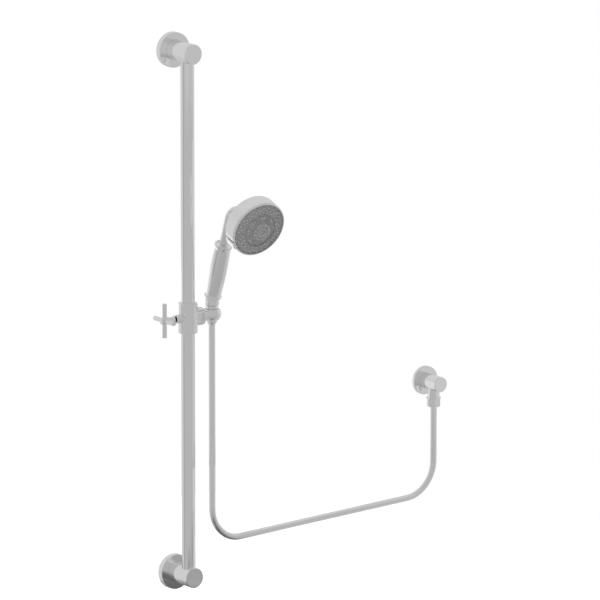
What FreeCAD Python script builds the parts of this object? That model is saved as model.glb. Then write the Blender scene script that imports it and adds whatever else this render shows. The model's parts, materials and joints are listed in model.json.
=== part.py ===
import FreeCAD, Part
import math
import os
import re

import Sketcher

# Shower slide rail: a round rail on two wall posts, a clamped slider with a tilting holder,
# a hand shower that rests in the holder, and a hose to a wall outlet elbow.
# Millimetres. X runs along the wall, Y = 0 is the wall with the object at negative Y, Z is up.
# The origin is the centre of the lower wall fixing.

SIZES = {
    # Clearances
    "fit_gap": 0.05,
    "run_gap": 0.3,
    "face_gap": 0.1,
    "edge": 0.8,
    # Rail and its two wall brackets
    "rail_diameter": 25.0,
    "rail_wall": 1.5,
    "rail_standoff": 52.0,
    "fixing_spacing": 965.0,
    "socket_past_axis": 8.0,
    "flange_diameter": 64.6,
    "flange_depth": 12.3,
    "flange_wall": 1.8,
    "post_diameter": 37.3,
    "post_reach": 72.0,
    "boss_gap": 1.5,
    "boss_thickness": 5.0,
    "stem_diameter": 24.0,
    "stem_length": 22.0,
    "fixing_hole_diameter": 5.2,
    "fixing_hole_inset": 6.0,
    "grub_diameter": 5.0,
    "grub_inset": 0.8,
    "grub_place": 18.5,
    # Wall outlet elbow
    "elbow_across": 559.6,
    "elbow_height": 286.6,
    "elbow_flange_diameter": 53.6,
    "elbow_flange_depth": 6.8,
    "elbow_flange_wall": 1.5,
    "elbow_diameter": 28.6,
    "elbow_reach": 54.2,
    "elbow_standoff": 31.4,
    "inlet_diameter": 18.6,
    "inlet_depth": 14.0,
    "waterway": 11.0,
    "spigot_diameter": 22.0,
    "spigot_drop": 27.1,
    "thread_diameter": 20.9,
    "thread_length": 11.0,
    # Hose and its end fittings
    "hose_diameter": 11.8,
    "hose_bore": 8.0,
    "washer_hole": 10.0,
    "washer_thickness": 2.0,
    "tail_flange_gap": 0.75,
    "tail_flange_thickness": 2.0,
    "ferrule_diameter": 12.4,
    "ferrule_length": 15.5,
    "collar_diameter": 26.8,
    "collar_thickness": 3.2,
    "nut_wall": 0.55,
    "nut_length": 14.2,
    "nut_chamfer": 2.2,
    "nut_turn": 8.0,
    "cone_top_diameter": 24.2,
    "cone_foot_diameter": 18.0,
    "cone_end_diameter": 12.4,
    "cone_rise": 14.7,
    "cone_foot_drop": 14.3,
    "cone_drop": 18.7,
    "cone_thread_length": 9.0,
    "cone_tail_diameter": 11.0,
    "cone_flange_diameter": 17.6,
    # Slider and its clamp
    "sleeve_diameter": 35.0,
    "sleeve_length": 55.4,
    "slider_drop": 2.2,
    "lip_thickness": 2.0,
    "liner_wall": 2.0,
    "liner_slit": 2.0,
    "neck_boss_diameter": 16.2,
    "neck_boss_reach": 28.2,
    "spindle_diameter": 8.0,
    "pad_diameter": 10.0,
    "pad_thickness": 3.4,
    "knob_ring_diameter": 10.4,
    "knob_ring_thickness": 1.8,
    "hub_waist_diameter": 11.0,
    "hub_before_arms": 6.6,
    "hub_flare": 1.6,
    "hub_diameter": 13.0,
    "hub_past_arms": 6.4,
    "arm_diameter": 8.4,
    "arm_span": 62.4,
    "arm_place": 50.6,
    "cap_diameter": 10.4,
    "cap_height": 1.4,
    # Tilting holder
    "pivot_boss_diameter": 32.6,
    "pivot_boss_reach": 23.6,
    "pivot_land_width": 2.4,
    "hub_land_width": 1.2,
    "pivot_groove_width": 1.2,
    "pivot_groove_depth": 1.6,
    "pivot_washer_thickness": 1.2,
    "pivot_hub_thickness": 6.0,
    "pivot_hub_round": 3.2,
    "pivot_shank_diameter": 19.6,
    "pivot_shank_gap": 7.5,
    "pivot_screw_diameter": 8.0,
    "pivot_thread_diameter": 6.8,
    "pivot_thread_length": 5.0,
    "screw_head_diameter": 13.0,
    "screw_head_thickness": 2.2,
    "screw_gap": 0.43,
    "holder_reach": 52.0,
    "holder_height": 20.8,
    "holder_rim": 1.3,
    "holder_bulge": 3.83,
    "holder_slot_gap": 0.7,
    "holder_liner_wall": 1.0,
    # Hand shower grip
    "base_diameter": 26.4,
    "base_bore": 9.0,
    "base_gap": 1.5,
    "base_bevel": 2.0,
    "knuckle_rise": 25.2,
    "handle_lean": 19.5,
    "ring_start": 7.5,
    "ring_lip_start": 9.6,
    "ring_lip_end": 11.2,
    "ring_lip_diameter": 32.2,
    "ring_hole": 12.0,
    "grip_start": 14.5,
    "grip_end": 107.8,
    "grip_end_diameter": 28.0,
    "grip_belly_diameter": 31.2,
    "grip_bore": 22.0,
    "collar_flare": 6.6,
    "collar_rim_height": 2.9,
    "collar_rim_diameter": 33.2,
    "collar_rim_wall": 1.6,
    "collar_recess": 2.6,
    "tube_diameter": 13.0,
    "neck_diameter": 16.0,
    "neck_bore": 11.0,
    "neck_sink": 4.0,
    "neck_rise": 199.7,
    "neck_bend": 30.0,
    # Hand shower head, measured back from the front of its shell
    "head_droop": 20.6,
    "head_reach": 89.4,
    "shell_diameter": 107.2,
    "shell_wall": 1.4,
    "shell_depth": 31.0,
    "shell_round": 7.0,
    "dome_diameter": 52.0,
    "dome_rise": 4.0,
    "socket_diameter": 23.0,
    "socket_start": 42.0,
    "socket_end": 50.0,
    "neck_seat": 40.0,
    "selector_rim_step": 0.4,
    "selector_rim_thickness": 2.2,
    "selector_wall": 1.3,
    "selector_depth": 8.0,
    "selector_disc_thickness": 4.0,
    "port_diameter": 9.0,
    "port_inset": 21.6,
    "port_count": 3,
    "lever_angle": 58.0,
    "lever_width": 13.0,
    "lever_length": 24.0,
    "lever_thickness": 2.6,
    "plate_edge_front": -0.4,
    "plate_back": 6.0,
    "plate_dish": 11.0,
    "plate_stem_diameter": 15.6,
    "seal_section": 3.0,
    "seal_place": 16.0,
    "plate_rim": 0.65,
    "mat_width": 16.8,
    "mat_edge_front": 0.6,
    "mat_rise": 4.6,
    "mat_thickness": 2.4,
    "lip_width": 1.35,
    "lip_rise": 0.8,
    "plain_step": 1.0,
    "plain_rise": 5.5,
    "disc_diameter": 36.4,
    "disc_step": 1.5,
    "disc_thickness": 4.0,
    "nozzle_diameter": 2.2,
    "nozzle_height": 1.5,
    "nozzle_taper": 8.0,
    "mat_inner_margin": 2.6,
    "mat_outer_margin": 1.6,
    "mat_rows": 4,
    "mat_columns": 24,
    "pair_inset": 5.4,
    "pair_pitch": 4.4,
    "pair_count": 8,
    "disc_row_start": 7.4,
    "disc_outer_margin": 3.8,
    "disc_rows": 2,
    "disc_columns": 12,
}

# The hose hangs from the cone nut, turns along the wall and rises to the elbow.
# Each corner is spread over two points.
HOSE_ROUTE = [
    (52.0, -52.0, 461.6),
    (52.0, -52.0, 93.5),
    (89.5, -50.5, 57.5),
    (523.6, -32.9, 77.3),
    (559.6, -31.4, 115.0),
    (559.6, -31.4, 226.6),
]

# Share of the shorter run that an arc of the hose takes up.
ARC_SHARE = 0.45

X_AXIS = FreeCAD.Vector(1, 0, 0)
Y_AXIS = FreeCAD.Vector(0, 1, 0)

# Places where the turned and extruded pieces are made: base point, axis and angle of rotation.
# Each piece is made along its own Z.
SLIDER_LEVEL = "fixing_spacing / 2 - slider_drop"
KNUCKLE_LEVEL = f"{SLIDER_LEVEL} + knuckle_rise"
HEAD_OUT = "rail_standoff + neck_rise * sin(handle_lean) + head_reach * cos(head_droop)"
HEAD_LEVEL = f"{KNUCKLE_LEVEL} + neck_rise * cos(handle_lean) - head_reach * sin(head_droop)"

# Sizes that follow from others.
BOSS_DIAMETER = "(flange_diameter - 2 * (flange_wall + boss_gap))"
TAIL_FLANGE = "(thread_diameter - 2 * tail_flange_gap)"
HUB_WAIST_END = "(arm_place - hub_before_arms)"
HUB_END = "(arm_place + hub_past_arms)"
LINER_SPACE = "(fit_gap + holder_liner_wall + fit_gap)"
COLLAR_RIM_START = "(grip_end + collar_flare)"
COLLAR_RIM_END = f"({COLLAR_RIM_START} + collar_rim_height)"
NECK_START = "(grip_end - neck_sink)"
SELECTOR_RIM = "(shell_diameter / 2 - selector_rim_step)"
SELECTOR_BORE = "(shell_diameter / 2 - shell_wall - run_gap - selector_wall)"
MAT_OUTSIDE = f"({SELECTOR_BORE} - run_gap - plate_rim - fit_gap)"
MAT_INSIDE = f"({MAT_OUTSIDE} - mat_width)"
LIP_INSIDE = f"({MAT_INSIDE} - fit_gap - lip_width)"
DISC_HOLE = "(disc_diameter / 2 + fit_gap)"
MAT_SLOPE = "(mat_rise / mat_width)"
LIP_FRONT = "(mat_edge_front + mat_rise + lip_rise)"
PLAIN_FRONT = f"({LIP_FRONT} - plain_step)"
PLAIN_SLOPE = f"(plain_rise / ({LIP_INSIDE} - {DISC_HOLE}))"
DISC_FRONT = f"({PLAIN_FRONT} + plain_rise + disc_step)"

FRAMES = {
    "lower": (("0", "0", "0"), X_AXIS, "90"),
    "upper": (("0", "0", "fixing_spacing"), X_AXIS, "90"),
    "rail": (("0", "-rail_standoff", "0"), X_AXIS, "0"),
    "lower_grub": (("0", "-grub_place", "0"), X_AXIS, "0"),
    "upper_grub": (("0", "-grub_place", "fixing_spacing"), X_AXIS, "0"),
    "elbow": (("elbow_across", "0", "elbow_height"), X_AXIS, "90"),
    "spigot": (("elbow_across", "-elbow_standoff", "elbow_height"), X_AXIS, "0"),
    "slider": (("0", "-rail_standoff", SLIDER_LEVEL), X_AXIS, "0"),
    "clamp": (("0", "-rail_standoff", SLIDER_LEVEL), Y_AXIS, "-90"),
    "pivot": (("0", "-rail_standoff", SLIDER_LEVEL), Y_AXIS, "90"),
    "holder": (("holder_reach", "-rail_standoff", SLIDER_LEVEL), X_AXIS, "0"),
    "handle": (("holder_reach", "-rail_standoff", KNUCKLE_LEVEL), X_AXIS, "handle_lean"),
    "head": (("holder_reach", f"-({HEAD_OUT})", HEAD_LEVEL), X_AXIS, "90 + head_droop"),
}

doc = FreeCAD.newDocument("ShowerSlideRail")
sheet = doc.addObject("Spreadsheet::Sheet", "Sizes")
for row, (size_name, size) in enumerate(SIZES.items(), start=1):
    sheet.set(f"A{row}", size_name)
    sheet.set(f"B{row}", str(size))
    sheet.setAlias(f"B{row}", size_name)
doc.recompute()

nodes = []


def cells(formula):
    """Spell a formula on named sizes as the cells of the sheet."""
    return re.sub(r"\b[a-z][a-z_]+\b(?!\()", r"Sizes.\g<0>", formula)


def value(formula):
    """The present value of a formula on named sizes."""
    return float(sheet.evalExpression(cells(formula)))


def bind(item, prop, formula):
    """Tie one property of an object to a formula on named sizes."""
    item.setExpression(prop, cells(formula))


def place(item, frame):
    """Put an object in one of the named frames, tied to the sizes."""
    base, axis, angle = FRAMES[frame]
    item.Placement = FreeCAD.Placement(FreeCAD.Vector(), FreeCAD.Rotation(axis, value(angle)))
    for letter, formula in zip("xyz", base):
        bind(item, f"Placement.Base.{letter}", formula)
    if angle != "0":
        item.setExpression("Placement.Rotation.Angle", f"({cells(angle)}) * 1 deg")


def keep(label, item):
    """Take a finished object as the named piece of the assembly."""
    item.Label = label
    nodes.append(item)
    return item


def new_body(name, frame):
    body = doc.addObject("PartDesign::Body", name)
    place(body, frame)
    return body


def new_sketch(body, name, role, level=None):
    """A sketch on one of the body's own planes, raised to a level along that plane's normal."""
    sketch = body.newObject("Sketcher::SketchObject", name)
    plane = [item for item in body.Origin.OriginFeatures if item.Role == role][0]
    sketch.AttachmentSupport = [(plane, "")]
    sketch.MapMode = "FlatFace"
    if level is not None:
        bind(sketch, "AttachmentOffset.Base.z", level)
    return sketch


def arc_between(start, end, radius, side):
    """The short arc from start to end whose centre lies on one side of the line between them."""
    along = end - start
    half = along.Length / 2
    across = FreeCAD.Vector(-along.y, along.x, 0).normalize()
    sagitta_leg = math.sqrt(max(radius ** 2 - half ** 2, 0))
    centre = (start + end) / 2 + across * sagitta_leg * side
    outward = (start + end) / 2 - centre
    middle = centre + outward.normalize() * radius
    return Part.Arc(start, middle, end)


def draw(sketch, corners, closed=True):
    """Draw an outline through corners (formula, formula), each tied to the sizes.

    A corner may carry (radius formula, side): the edge that ends there is then an arc,
    with its centre on the left (1) or the right (-1) of the way from the corner before.
    """
    points = [FreeCAD.Vector(value(c[0]), value(c[1]), 0) for c in corners]
    count = len(corners) if closed else len(corners) - 1
    first_edge = sketch.GeometryCount
    rules = []
    ties = []
    for index in range(count):
        edge = first_edge + index
        after = (index + 1) % len(corners)
        bend = corners[after][2] if len(corners[after]) > 2 else None
        if bend is None:
            sketch.addGeometry(Part.LineSegment(points[index], points[after]))
            ends = (1, 2)
        else:
            arc = arc_between(points[index], points[after], value(bend[0]), bend[1])
            sketch.addGeometry(arc)
            counter_clockwise = bend[1] > 0
            ends = (1, 2) if counter_clockwise else (2, 1)
            rules.append(Sketcher.Constraint("Radius", edge, value(bend[0])))
            ties.append((len(rules) - 1, f"bend_{edge}", bend[0]))
        for corner, end in ((index, ends[0]), (after, ends[1])):
            if corner == index and index > 0:
                rules.append(Sketcher.Constraint("Coincident", edge - 1, last_end, edge, end))
                continue
            if corner == 0 and index == count - 1 and closed:
                rules.append(Sketcher.Constraint("Coincident", edge, end, first_edge, first_end))
                continue
            for kind, axis in (("DistanceX", 0), ("DistanceY", 1)):
                rules.append(Sketcher.Constraint(kind, -1, 1, edge, end, points[corner][axis]))
                ties.append((len(rules) - 1, f"{kind}_{edge}_{end}", corners[corner][axis]))
        if index == 0:
            first_end = ends[0]
        last_end = ends[1]
    first_rule = sketch.addConstraint(rules)[0]
    for number, name, formula in ties:
        sketch.renameConstraint(first_rule + number, name)
        bind(sketch, f"Constraints.{name}", formula)


def turned(name, frame, corners):
    """A piece turned about its own Z from corners (radius, height)."""
    body = new_body(name, frame)
    sketch = new_sketch(body, f"{name}_profile", "XZ_Plane")
    draw(sketch, corners)
    turn = body.newObject("PartDesign::Revolution", f"{name}_turn")
    turn.Profile = sketch
    turn.ReferenceAxis = (sketch, ["V_Axis"])
    turn.Angle = 360
    return body


def prism(name, frame, corners, bottom, top):
    """A straight piece along its own Z from corners (x, y), between two levels."""
    body = new_body(name, frame)
    sketch = new_sketch(body, f"{name}_outline", "XY_Plane", bottom)
    draw(sketch, corners)
    pad = body.newObject("PartDesign::Pad", f"{name}_pad")
    pad.Profile = sketch
    bind(pad, "Length", f"({top}) - ({bottom})")
    return body


def rods(name, frame, diameter, centres, bottom, top):
    """Round rods side by side along Z at centres (x, y), as separate solids."""
    shapes = []
    for index, centre in enumerate(centres):
        body = new_body(f"{name}_{index}", frame)
        sketch = new_sketch(body, f"{name}_{index}_circle", "XY_Plane", bottom)
        circles(sketch, diameter, [centre])
        pad = body.newObject("PartDesign::Pad", f"{name}_{index}_pad")
        pad.Profile = sketch
        bind(pad, "Length", f"({top}) - ({bottom})")
        shapes.append(body)
    return shapes


def circles(sketch, diameter, centres):
    """Circles of one size at centres (x, y) in a sketch, tied to the sizes."""
    for index, (across, up) in enumerate(centres):
        middle = FreeCAD.Vector(value(across), value(up), 0)
        sketch.addGeometry(Part.Circle(middle, FreeCAD.Vector(0, 0, 1), value(diameter) / 2))
        rules = [Sketcher.Constraint("Diameter", index, value(diameter))]
        rules.append(Sketcher.Constraint("DistanceX", -1, 1, index, 3, middle.x))
        rules.append(Sketcher.Constraint("DistanceY", -1, 1, index, 3, middle.y))
        first = sketch.addConstraint(rules)[0]
        for offset, formula in enumerate((diameter, across, up)):
            sketch.renameConstraint(first + offset, f"circle_{index}_{offset}")
            bind(sketch, f"Constraints.circle_{index}_{offset}", formula)


def nozzles(body, name, column, front, slope, count):
    """Rings of six-sided spray nozzles on a turned face that rises inward from its front edge.

    One column of them is padded, row by row from under the face, and repeated round the axis.
    """
    pads = []
    for row, (inset, centres) in enumerate(column):
        level = f"{front} + {slope} * ({inset} - nozzle_diameter)"
        sketch = new_sketch(body, f"{name}_row_{row}", "XY_Plane", level)
        for across, up in centres:
            draw(sketch, [(f"{across} + {x}", f"{up} + {y}") for x, y in hexagon("nozzle_diameter", "0")])
        pad = body.newObject("PartDesign::Pad", f"{name}_nozzles_{row}")
        pad.Profile = sketch
        bind(pad, "Length", f"nozzle_height + {slope} * nozzle_diameter")
        pad.setExpression("TaperAngle", f"-{cells('nozzle_taper')} * 1 deg")
        pads.append(pad)
    ring = body.newObject("PartDesign::PolarPattern", f"{name}_rings")
    ring.Originals = pads
    axis = [item for item in body.Origin.OriginFeatures if item.Role == "Z_Axis"][0]
    ring.Axis = (axis, [""])
    ring.Angle = 360
    bind(ring, "Occurrences", count)
    body.Tip = ring


def fused(name, pieces):
    whole = doc.addObject("Part::MultiFuse", name)
    whole.Shapes = pieces
    whole.Refine = True
    return whole


def cut(name, base, tools):
    """A base with each of the tools taken out of it."""
    for index, tool in enumerate(tools):
        step = doc.addObject("Part::Cut", f"{name}_{index}")
        step.Base = base
        step.Tool = tool
        base = step
    return base


def ring_profile(inner, outer, bottom, top):
    """Corners of a plain ring between two diameters and two levels."""
    return [
        (f"({inner}) / 2", bottom),
        (f"({outer}) / 2", bottom),
        (f"({outer}) / 2", top),
        (f"({inner}) / 2", top),
    ]


def rod_profile(outer, bottom, top):
    """Corners of a plain rod between two levels."""
    return ring_profile("0", outer, bottom, top)


def rail():
    """The rail tube, held between the sockets of the two posts."""
    bore = "rail_diameter - 2 * rail_wall"
    top = "fixing_spacing + socket_past_axis"
    profile = ring_profile(bore, "rail_diameter", "-socket_past_axis", top)
    keep("rail_tube", turned("RailTube", "rail", profile))


def bracket(side):
    """One wall bracket: fixing boss on the wall, cover flange, and post with the rail's socket."""
    reach = "boss_thickness + stem_length"
    boss = turned(f"{side}Boss", side, [
        ("0", "0"),
        (f"{BOSS_DIAMETER} / 2", "0"),
        (f"{BOSS_DIAMETER} / 2", "boss_thickness"),
        ("stem_diameter / 2", "boss_thickness"),
        ("stem_diameter / 2", reach),
        ("0", reach),
    ])
    half = f"({BOSS_DIAMETER} / 2 - fixing_hole_inset)"
    drills = rods(f"{side}Drill", side, "fixing_hole_diameter",
                  [("0", half), ("0", f"-{half}")], "-edge", "boss_thickness + edge")
    keep(f"{side}_wall_boss", cut(f"{side}WallBoss", boss, drills))

    keep(f"{side}_flange", turned(f"{side}Flange", side, [
        ("flange_diameter / 2 - flange_wall", "0"),
        ("flange_diameter / 2", "0"),
        ("flange_diameter / 2", "flange_depth - edge"),
        ("flange_diameter / 2 - edge", "flange_depth"),
        ("post_diameter / 2 + fit_gap", "flange_depth"),
        ("post_diameter / 2 + fit_gap", "flange_depth - flange_wall"),
        ("flange_diameter / 2 - flange_wall", "flange_depth - flange_wall"),
    ]))

    blank = turned(f"{side}Post", side, [
        ("stem_diameter / 2 + fit_gap", "boss_thickness"),
        ("post_diameter / 2", "boss_thickness"),
        ("post_diameter / 2", "post_reach - edge"),
        ("post_diameter / 2 - edge", "post_reach"),
        ("0", "post_reach"),
        ("0", f"{reach} + face_gap"),
        ("stem_diameter / 2 + fit_gap", f"{reach} + face_gap"),
    ])
    inward = "post_diameter"
    span = {
        "lower": ("-socket_past_axis", inward),
        "upper": (f"fixing_spacing - {inward}", "fixing_spacing + socket_past_axis"),
    }[side]
    socket = turned(f"{side}Socket", "rail", rod_profile("rail_diameter + 2 * fit_gap", *span))
    drill = turned(f"{side}GrubHole", f"{side}_grub",
                   rod_profile("grub_diameter + 2 * fit_gap", "-post_diameter", "-stem_diameter / 2 + edge"))
    keep(f"{side}_post", cut(f"{side}PostBored", blank, [socket, drill]))


def grub_screws():
    """The two socket screws under the posts, which lock them on their bosses."""
    screws = []
    for side in ("lower", "upper"):
        screw = turned(f"{side}Grub", f"{side}_grub",
                       rod_profile("grub_diameter", "-post_diameter / 2 + grub_inset", "-stem_diameter / 2"))
        key = prism(f"{side}Key", f"{side}_grub", hexagon("grub_diameter / 2", "0"),
                    "-post_diameter", "-post_diameter / 2 + grub_inset + grub_diameter / 2")
        screws.append(cut(f"{side}GrubScrew", screw, [key]))
    group = doc.addObject("Part::Compound", "GrubScrews")
    group.Links = screws
    keep("post_grub_screws", group)


def hexagon(across_flats, turn):
    """Corners of a hexagon of the given width, turned about its centre."""
    reach = f"({across_flats}) / 2 / cos(30)"
    angles = [f"({turn}) + {60 * corner}" for corner in range(6)]
    return [(f"{reach} * cos({angle})", f"{reach} * sin({angle})") for angle in angles]


def elbow():
    """The wall outlet: cover flange, and a body with the inlet at the wall and a spigot below."""
    keep("elbow_flange", turned("ElbowFlange", "elbow", [
        ("elbow_flange_diameter / 2 - elbow_flange_wall", "0"),
        ("elbow_flange_diameter / 2", "0"),
        ("elbow_flange_diameter / 2", "elbow_flange_depth - edge"),
        ("elbow_flange_diameter / 2 - edge", "elbow_flange_depth"),
        ("elbow_diameter / 2 + fit_gap", "elbow_flange_depth"),
        ("elbow_diameter / 2 + fit_gap", "elbow_flange_depth - elbow_flange_wall"),
        ("elbow_flange_diameter / 2 - elbow_flange_wall", "elbow_flange_depth - elbow_flange_wall"),
    ]))
    arm = turned("ElbowArm", "elbow", [
        ("0", "0"),
        ("elbow_diameter / 2", "0"),
        ("elbow_diameter / 2", "elbow_reach - edge"),
        ("elbow_diameter / 2 - edge", "elbow_reach"),
        ("0", "elbow_reach"),
    ])
    tip = "-(spigot_drop + thread_length)"
    spigot = turned("ElbowSpigot", "spigot", [
        ("0", tip),
        ("thread_diameter / 2", tip),
        ("thread_diameter / 2", "-spigot_drop"),
        ("spigot_diameter / 2", "-spigot_drop"),
        ("spigot_diameter / 2", "0"),
        ("0", "0"),
    ])
    inlet = turned("ElbowInlet", "elbow", [
        ("0", "-edge"),
        ("inlet_diameter / 2", "-edge"),
        ("inlet_diameter / 2", "inlet_depth"),
        ("waterway / 2", "inlet_depth"),
        ("waterway / 2", "elbow_standoff"),
        ("0", "elbow_standoff"),
    ])
    outlet = turned("ElbowOutlet", "spigot", rod_profile("waterway", f"{tip} - edge", "waterway / 2"))
    keep("elbow_body", cut("ElbowBored", fused("ElbowCast", [arm, spigot]), [inlet, outlet]))


def hose_elbow_end():
    """Washer, swivel nut and crimped tail that join the hose to the elbow."""
    top = "-spigot_drop"
    seat = "-(spigot_drop + thread_length)"
    flange_top = f"{seat} - washer_thickness"
    flange_foot = f"{flange_top} - tail_flange_thickness"
    nut_top = f"{top} - collar_thickness"
    nut_foot = f"{nut_top} - nut_length"
    keep("elbow_washer", turned("ElbowWasher", "spigot",
                                ring_profile("washer_hole", TAIL_FLANGE, flange_top, seat)))
    across_flats = "(thread_diameter + 2 * nut_wall)"
    hexed = prism("NutHex", "spigot", hexagon(across_flats, "nut_turn"), nut_foot, nut_top)
    collar = turned("NutCollar", "spigot", rod_profile("collar_diameter", nut_top, top))
    bore = turned("NutBore", "spigot", [
        ("0", f"{nut_foot} - edge"),
        ("ferrule_diameter / 2 + fit_gap", f"{nut_foot} - edge"),
        ("ferrule_diameter / 2 + fit_gap", flange_foot),
        ("thread_diameter / 2 + fit_gap", flange_foot),
        ("thread_diameter / 2 + fit_gap", f"{top} + edge"),
        ("0", f"{top} + edge"),
    ])
    corners = turned("NutCorners", "spigot", [
        (f"{across_flats} / 2 - edge", f"{nut_foot} - edge"),
        (f"{across_flats} / 2 + nut_chamfer", f"{nut_foot} - edge"),
        (f"{across_flats} / 2 + nut_chamfer", f"{nut_foot} + nut_chamfer"),
    ])
    keep("hose_elbow_nut", cut("ElbowNut", fused("NutBlank", [hexed, collar]), [bore, corners]))
    foot = f"{nut_foot} - ferrule_length"
    keep("hose_elbow_tail", turned("ElbowTail", "spigot", [
        ("hose_bore / 2", foot),
        ("ferrule_diameter / 2", foot),
        ("ferrule_diameter / 2", flange_foot),
        (f"{TAIL_FLANGE} / 2", flange_foot),
        (f"{TAIL_FLANGE} / 2", flange_top),
        ("hose_bore / 2", flange_top),
    ]))


def cone_radius(level, extra="0"):
    """Radius of the hose's cone nut at a level from the holder's middle, with an extra thickness."""
    slope = "(cone_top_diameter - cone_foot_diameter) / 2 / (cone_rise + cone_foot_drop)"
    return f"cone_foot_diameter / 2 + {slope} * (({level}) + cone_foot_drop) + {extra}"


def hose_cone_end():
    """Cone nut, tail and washer that join the hose to the hand shower."""
    seat = "cone_rise - cone_thread_length"
    flange_top = f"{seat} - washer_thickness"
    flange_foot = f"{flange_top} - tail_flange_thickness"
    hole = "cone_tail_diameter / 2 + fit_gap"
    keep("hose_cone_nut", turned("ConeNut", "holder", [
        (hole, "-cone_drop"),
        ("cone_end_diameter / 2", "-cone_drop"),
        ("cone_foot_diameter / 2", "-cone_foot_drop"),
        (cone_radius("cone_rise - edge"), "cone_rise - edge"),
        ("cone_top_diameter / 2 - edge", "cone_rise"),
        ("thread_diameter / 2 + fit_gap", "cone_rise"),
        ("thread_diameter / 2 + fit_gap", seat),
        ("cone_flange_diameter / 2 + fit_gap", seat),
        ("cone_flange_diameter / 2 + fit_gap", flange_foot),
        (hole, flange_foot),
    ]))
    keep("hose_cone_tail", turned("ConeTail", "holder", [
        ("hose_bore / 2", "-cone_drop"),
        ("cone_tail_diameter / 2", "-cone_drop"),
        ("cone_tail_diameter / 2", flange_foot),
        ("cone_flange_diameter / 2", flange_foot),
        ("cone_flange_diameter / 2", flange_top),
        ("hose_bore / 2", flange_top),
    ]))
    keep("cone_washer", turned("ConeWasher", "holder",
                               ring_profile("washer_hole", "cone_flange_diameter", flange_top, seat)))


def slider():
    """The sleeve on the rail with its liner, clamp boss and pivot boss."""
    half = "sleeve_length / 2"
    seat = f"({half} - lip_thickness)"
    liner_bore = "rail_diameter + 2 * fit_gap"
    liner_outside = f"{liner_bore} + 2 * liner_wall"
    liner = turned("LinerTube", "slider", ring_profile(
        liner_bore, liner_outside, f"-{seat} + run_gap", f"{seat} - run_gap"))
    slit_half = "liner_slit / 2"
    slit = prism("LinerSlit", "slider", [
        (f"-{slit_half}", "0"),
        (slit_half, "0"),
        (slit_half, "sleeve_diameter"),
        (f"-{slit_half}", "sleeve_diameter"),
    ], f"-{half}", half)
    keep("slider_liner", cut("SliderLiner", liner, [slit]))

    outside = turned("SleeveBlank", "slider", [
        ("0", f"-{half}"),
        ("sleeve_diameter / 2 - edge", f"-{half}"),
        ("sleeve_diameter / 2", f"-{half} + edge"),
        ("sleeve_diameter / 2", f"{half} - edge"),
        ("sleeve_diameter / 2 - edge", half),
        ("0", half),
    ])
    clamp_boss = turned("ClampBoss", "clamp", rod_profile("neck_boss_diameter", "0", "neck_boss_reach"))
    groove_start = "pivot_boss_reach - pivot_land_width - pivot_groove_width"
    groove_end = "pivot_boss_reach - pivot_land_width"
    groove_radius = "pivot_boss_diameter / 2 - pivot_groove_depth"
    pivot_boss = turned("PivotBoss", "pivot", [
        ("0", "0"),
        ("pivot_boss_diameter / 2", "0"),
        ("pivot_boss_diameter / 2", groove_start),
        (groove_radius, groove_start),
        (groove_radius, groove_end),
        ("pivot_boss_diameter / 2", groove_end),
        ("pivot_boss_diameter / 2", "pivot_boss_reach"),
        ("0", "pivot_boss_reach"),
    ])
    liner_seat = f"({liner_outside}) / 2 + fit_gap"
    lip_radius = "rail_diameter / 2 + run_gap"
    bore = turned("SleeveBore", "slider", [
        ("0", f"-{half} - edge"),
        (lip_radius, f"-{half} - edge"),
        (lip_radius, f"-{seat}"),
        (liner_seat, f"-{seat}"),
        (liner_seat, seat),
        (lip_radius, seat),
        (lip_radius, f"{half} + edge"),
        ("0", f"{half} + edge"),
    ])
    pad_end = f"{liner_seat} + run_gap + pad_thickness + face_gap"
    screw_bore = turned("ClampBore", "clamp", [
        ("0", "0"),
        ("pad_diameter / 2 + fit_gap", "0"),
        ("pad_diameter / 2 + fit_gap", pad_end),
        ("spindle_diameter / 2 + fit_gap", pad_end),
        ("spindle_diameter / 2 + fit_gap", "neck_boss_reach + edge"),
        ("0", "neck_boss_reach + edge"),
    ])
    tapped = turned("PivotTapped", "pivot", rod_profile(
        "pivot_thread_diameter + 2 * fit_gap", "pivot_boss_reach - pivot_thread_length - face_gap",
        "pivot_boss_reach + edge"))
    blank = fused("SleeveCast", [outside, clamp_boss, pivot_boss])
    keep("slider_sleeve", cut("SleeveBored", blank, [bore, screw_bore, tapped]))

    pad_foot = f"{liner_seat} + run_gap"
    keep("clamp_pad", turned("ClampPad", "clamp", rod_profile(
        "pad_diameter", pad_foot, f"{pad_foot} + pad_thickness")))
    return pad_end


def knob(spindle_foot):
    """The cross handle with its screw spindle, dark ring and end cap."""
    ring_foot = "neck_boss_reach + run_gap"
    hub_foot = f"{ring_foot} + knob_ring_thickness"
    keep("clamp_spindle", turned("ClampSpindle", "clamp", rod_profile(
        "spindle_diameter", f"{spindle_foot} + run_gap", HUB_WAIST_END)))
    keep("knob_ring", turned("KnobRing", "clamp", ring_profile(
        "spindle_diameter", "knob_ring_diameter", ring_foot, hub_foot)))
    hub = turned("KnobHub", "clamp", [
        ("0", hub_foot),
        ("hub_waist_diameter / 2", hub_foot),
        ("hub_waist_diameter / 2", f"{HUB_WAIST_END} - hub_flare"),
        ("hub_diameter / 2", HUB_WAIST_END),
        ("hub_diameter / 2", f"{HUB_END} - edge"),
        ("hub_diameter / 2 - edge", HUB_END),
        ("0", HUB_END),
    ])
    arms = [
        crossbar("KnobArmUp", "XY_Plane"),
        crossbar("KnobArmOut", "XZ_Plane"),
    ]
    bore = turned("KnobBore", "clamp", rod_profile("spindle_diameter", "neck_boss_reach", HUB_WAIST_END))
    keep("cross_handle", cut("CrossHandle", fused("CrossCast", [hub] + arms), [bore]))
    cap_front = f"{HUB_END} + cap_height"
    keep("knob_cap", turned("KnobCap", "clamp", rod_profile("cap_diameter", HUB_END, cap_front)))


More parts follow.
